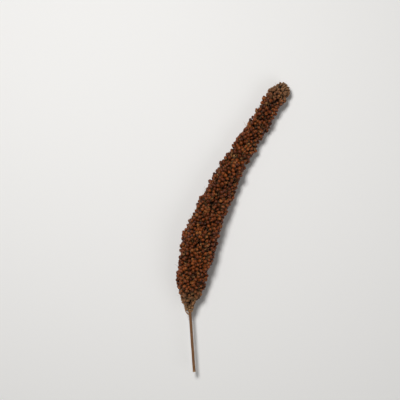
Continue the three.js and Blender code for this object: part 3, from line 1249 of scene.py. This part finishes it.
@dataclass
class LooseBase:
    """The thin base, where side branches and empty husks show: the lowest branch is a pale hook.

    "hook" gives places on that branch: how far along, how far from the middle line and how thick.
    """

    form: HeadForm
    branch_count: int = 26
    first_along: float = 0.2
    last_along: float = 9.0
    climb: float = 2.6
    climb_curve: float = 1.6
    crown_depth: float = 1.6
    root_radius: float = 0.4
    branch_radius: tuple[float, float] = (0.24, 0.12)
    branch_tints: tuple[float, float] = (0.2, 0.9)
    branch_sides: int = 6
    steps: int = 8
    hook_turn: float = 0.92 * math.pi
    hook: tuple = ((-1.2, 0.3, 0.3), (-0.6, 1.3, 0.3), (0.6, 2.1, 0.28), (2.6, 2.5, 0.24), (4.8, 2.9, 0.2))
    husk_skin: Skin = Skin("husk_skin", 0.9, 0.8)
    empty_husk: HuskShape = HuskShape(
        "husk_empty",
        scales=((0.0, 2.0, 1.2), (2.3, 1.7, 1.1), (4.2, 1.4, 1.0)),
        grain_length=2.0,
        grain_width=1.1,
        flare=0.22,
        stem_length=1.0,
    )
    husk_growth: Growth = Growth("empty_husks", 1.45, 31, "chaff_cover", 0.8, 0.5)

    def build(self) -> None:
        """Builds the branches and the empty husks and hands them to the frame."""
        alongs = np.linspace(self.first_along, self.last_along, self.branch_count)
        paths = [self._branch(along, i * GOLDEN_ANGLE) for i, along in enumerate(alongs)]
        self._sweep("base_branches", [*paths, self._hook()])
        skin = self.husk_skin.build(self.form)
        empty = self.empty_husk.build()
        self.husk_growth.build(skin, [empty], Finish.PAPER, Solid.HEAD)
        discard(skin, empty)

    def _branch(self, along: float, turn: float) -> np.ndarray:
        """Works out one branch's path: out from the spine, then up to its tuft.

        Args:
            along: Where it leaves the spine.
            turn: Where it stands round the spine.

        Returns:
            Rows of x, y, z and radius.
        """
        top = along + self.climb
        reach = max(float(self.form.radius(top)) - self.crown_depth, 2 * self.root_radius)
        share = np.linspace(0, 1, self.steps)
        out = self.root_radius + (reach - self.root_radius) * np.sin(share * math.pi / 2)
        up = along + self.climb * share**self.climb_curve
        points = self.form.place(up, np.full(self.steps, turn), out)
        thick, thin = self.branch_radius
        return np.column_stack([points, thick + (thin - thick) * share])

    def _hook(self) -> np.ndarray:
        """Works out the lowest branch's path.

        Returns:
            Rows of x, y, z and radius.
        """
        known = np.array(self.hook)
        along = np.linspace(known[0, 0], known[-1, 0], 2 * self.steps)
        reach = smooth_through(tuple(known[:, :2]), along)
        radius = smooth_through(tuple(known[:, [0, 2]]), along)
        points = self.form.place(along, np.full(len(along), self.hook_turn), reach)
        return np.column_stack([points, radius])

    def _sweep(self, name: str, paths: list[np.ndarray]) -> None:
        """Sweeps round tapered branches along their paths, and hands them to the frame as one piece.

        Args:
            name: The piece's name.
            paths: For each branch, rows of x, y, z and radius.
        """
        points = np.vstack(paths)
        edges = []
        for path in paths:
            first = edges[-1][1] + 1 if edges else 0
            edges += [(first + step, first + step + 1) for step in range(len(path) - 1)]
        values = {"thickness": points[:, 3] * MM, "tint": np.linspace(*self.branch_tints, len(points))}
        mesh = mesh_from(name + "_paths", points[:, :3], [], values, edges)
        tree = bpy.data.node_groups.new(name + "_sweep", "GeometryNodeTree")
        given, sockets = tree_inputs(tree, {"Paths": "NodeSocketGeometry", "Sides": "NodeSocketInt"})
        section = {"Resolution": given["Sides"], "Radius": 1.0}
        sweep = {
            "Curve": add_node(tree, "GeometryNodeMeshToCurve", inputs={"Mesh": given["Paths"]}),
            "Profile Curve": add_node(tree, "GeometryNodeCurvePrimitiveCircle", inputs=section),
            "Scale": add_node(tree, "GeometryNodeInputNamedAttribute", NUMBER, {"Name": "thickness"}),
            "Fill Caps": True,
        }
        swept = add_node(tree, "GeometryNodeCurveToMesh", inputs=sweep)
        finish_tree(tree, swept, Finish.TWIG.material())
        keep_piece(grown_from(name, mesh, tree, {sockets["Sides"]: self.branch_sides}), Solid.HEAD)


@dataclass
class Stalk:
    """The cut straw stalk: ribbed, a little frayed and flared at its cut end, with pale pith.

    "pith_looks" gives the tint and the pallor of the pith's rim and of its middle.
    """

    form: HeadForm
    hidden_length: float = 12.0
    ribs: int = 11
    rib_depth: float = 0.07
    rib_sway: float = 0.6
    sway_rate: float = 0.15
    wander: float = 0.03
    wander_rate: float = 0.7
    flare: float = 0.14
    flare_length: float = 1.2
    cut_pallor: float = 0.8
    pith_share: float = 0.6
    pith_taper: float = 0.9
    pith_depth: float = 0.25
    pith_looks: tuple = ((0.7, 0.9), (0.9, 1.0))
    columns: int = 66
    rings: int = 110
    hairy_length: float = 12.0
    hair: BristleShape = BristleShape("hair", 0.7, 0.05, 0.15, steps=2)
    hair_growth: Growth = Growth("stalk_hairs", 0.35, 59, "hair_cover", 1.1, 0.4, 0.6, most_per_mm2=12.0)

    def build(self) -> None:
        """Builds the stalk and its fine hairs, and hands them to the frame."""
        form, columns = self.form, self.columns
        along = np.linspace(-form.stalk_length, self.hidden_length, self.rings)
        turn = turns(columns)
        grid_along, grid_turn = np.meshgrid(along, turn, indexing="ij")
        sway = self.rib_sway * np.sin(self.sway_rate * grid_along)
        ribs = 0.5 + 0.5 * np.cos(self.ribs * grid_turn + sway)
        bulge = np.cos(grid_turn + grid_along * self.sway_rate)
        wander = self.wander * np.sin(grid_along * self.wander_rate) * bulge
        near_cut = np.clip(1 - (grid_along + form.stalk_length) / self.flare_length, 0, 1)
        radius = form.stalk_radius - self.rib_depth * (1 - ribs) + wander + self.flare * near_cut**2
        wall = form.place(grid_along, grid_turn, radius)
        pith_along = np.full(columns, -form.stalk_length + self.pith_depth)
        rim = form.place(grid_along[0], turn, radius[0] * self.pith_share)
        pit = form.place(pith_along, turn, radius[0] * self.pith_share * self.pith_taper)
        ends, _, _, _ = form.station(np.array([pith_along[0], along[-1]]))
        points = np.vstack([pit, rim, wall.reshape(-1, 3), ends])
        (rim_tint, rim_pallor), (pith_tint, pith_pallor) = self.pith_looks
        # The tint follows the ribs: darker in the grooves, lighter on the crests.
        tint = np.r_[np.full(2 * columns, rim_tint), ribs.ravel(), pith_tint, 0.0]
        worn = self.cut_pallor * near_cut.ravel() ** 2
        pallor = np.r_[np.full(2 * columns, rim_pallor), worn, pith_pallor, 0.0]
        faces = tube_faces(self.rings + 2, columns)
        mesh = mesh_from("stalk_straw", points, faces, {"tint": tint, "pallor": pallor})
        mesh.materials.append(Finish.STRAW.material())
        keep_piece(object_from(mesh), Solid.STALK)
        self._grow_hairs(points, faces, along)

    def _grow_hairs(self, points: np.ndarray, faces: list, along: np.ndarray) -> None:
        """Grows short hairs on the stalk, thickest just below the head.

        Args:
            points: The stalk's points.
            faces: Its faces.
            along: Each ring's place along.
        """
        places = np.r_[np.full(2 * self.columns, along[0]), np.repeat(along, self.columns), along[[0, -1]]]
        _, ahead, _, _ = self.form.station(places)
        near_head = smooth_step((places + self.hairy_length) / self.hairy_length)
        values = {"ahead": ahead, "size": np.ones(len(places)), "hair_cover": near_head}
        skin = object_from(mesh_from("stalk_skin", points, faces, values))
        hair = self.hair.build()
        self.hair_growth.build(skin, [hair], Finish.BRISTLE, Solid.STALK)
        discard(skin, hair)


@dataclass(frozen=True)
class Lamp:
    """A round soft lamp: where it hangs from the picture's middle, its size and its power."""

    name: str
    offset: tuple[float, float, float]
    size: float
    power: float

    def build(self, middle: Vector) -> None:
        """Hangs the lamp.

        Args:
            middle: The point that it faces, in millimetres.
        """
        data = bpy.data.lights.new(self.name, "AREA")
        data.shape = "DISK"
        data.size = self.size * MM
        data.energy = self.power
        lamp = bpy.data.objects.new(self.name, data)
        bpy.context.scene.collection.objects.link(lamp)
        offset = Vector(self.offset)
        lamp.location = (middle + offset) * MM
        lamp.rotation_euler = (-offset).to_track_quat("-Z", "Y").to_euler()


@dataclass
class Studio:
    """A pale floor, soft light, and the camera straight above, framed as the photograph."""

    form: HeadForm
    frame_width: float = 200.0
    pixels: int = 400
    base_pixel: tuple[int, int] = (190, 312)
    lens: float = 100.0
    sensor: float = 36.0
    focus_height: float = 8.0
    floor_size: float = 3000.0
    floor_colour: str = "#F2F1EF"
    floor_roughness: float = 0.9
    sky_colour: str = "#F8F6F2"
    sky_strength: float = 0.1
    lamps: tuple = (
        Lamp("key", (-110.0, 170.0, 530.0), 150.0, 2.6),
        Lamp("fill", (320.0, -180.0, 420.0), 380.0, 0.4),
    )

    def build(self) -> None:
        """Builds the floor, the lights and the camera."""
        self._floor()
        for lamp in self.lamps:
            lamp.build(self._middle())
        self._sky()
        self._camera()

    def _middle(self) -> Vector:
        """Works out the point that the picture's middle looks at.

        Returns:
            The point, in millimetres.
        """
        base, _, _, _ = self.form.station(np.array([0.0]))
        scale = self.frame_width / self.pixels
        x = base[0, 0] + (self.pixels / 2 - self.base_pixel[0]) * scale
        y = base[0, 1] + (self.base_pixel[1] - self.pixels / 2) * scale
        return Vector((x, y, self.focus_height))

    def _floor(self) -> None:
        """Lays a matt pale floor."""
        half = self.floor_size / 2
        corners = np.array([[-half, -half, 0], [half, -half, 0], [half, half, 0], [-half, half, 0]])
        mesh = mesh_from("floor", corners, [(0, 1, 2, 3)])
        paint = bpy.data.materials.new("floor_matt_pale")
        paint.use_nodes = True
        looks = {"Base Color": linear(self.floor_colour), "Roughness": self.floor_roughness}
        fill(paint.node_tree.nodes["Principled BSDF"], looks)
        mesh.materials.append(paint)
        object_from(mesh)

    def _sky(self) -> None:
        """Fills the room with weak even light."""
        world = bpy.data.worlds.new("studio")
        world.use_nodes = True
        looks = {"Color": linear(self.sky_colour), "Strength": self.sky_strength}
        fill(world.node_tree.nodes["Background"], looks)
        bpy.context.scene.world = world

    def _camera(self) -> None:
        """Sets the camera straight above, at the photograph's scale."""
        data = bpy.data.cameras.new("camera")
        data.lens = self.lens
        data.sensor_width = self.sensor
        distance = self.frame_width * self.lens / self.sensor
        camera = bpy.data.objects.new("camera", data)
        bpy.context.scene.collection.objects.link(camera)
        camera.location = (self._middle() + Vector((0, 0, distance))) * MM
        bpy.context.scene.camera = camera
        bpy.context.scene.view_settings.view_transform = "Standard"


def main() -> None:
    """Builds the head, its stalk and the studio, in that order."""
    logging.basicConfig(level=logging.INFO, format="%(name)s: %(message)s")
    form = HeadForm()
    HeadBody(form).build()
    GrainCoat(form).build()
    LooseBase(form).build()
    Stalk(form).build()
    Studio(form).build()


if __name__ == "__main__":
    main()
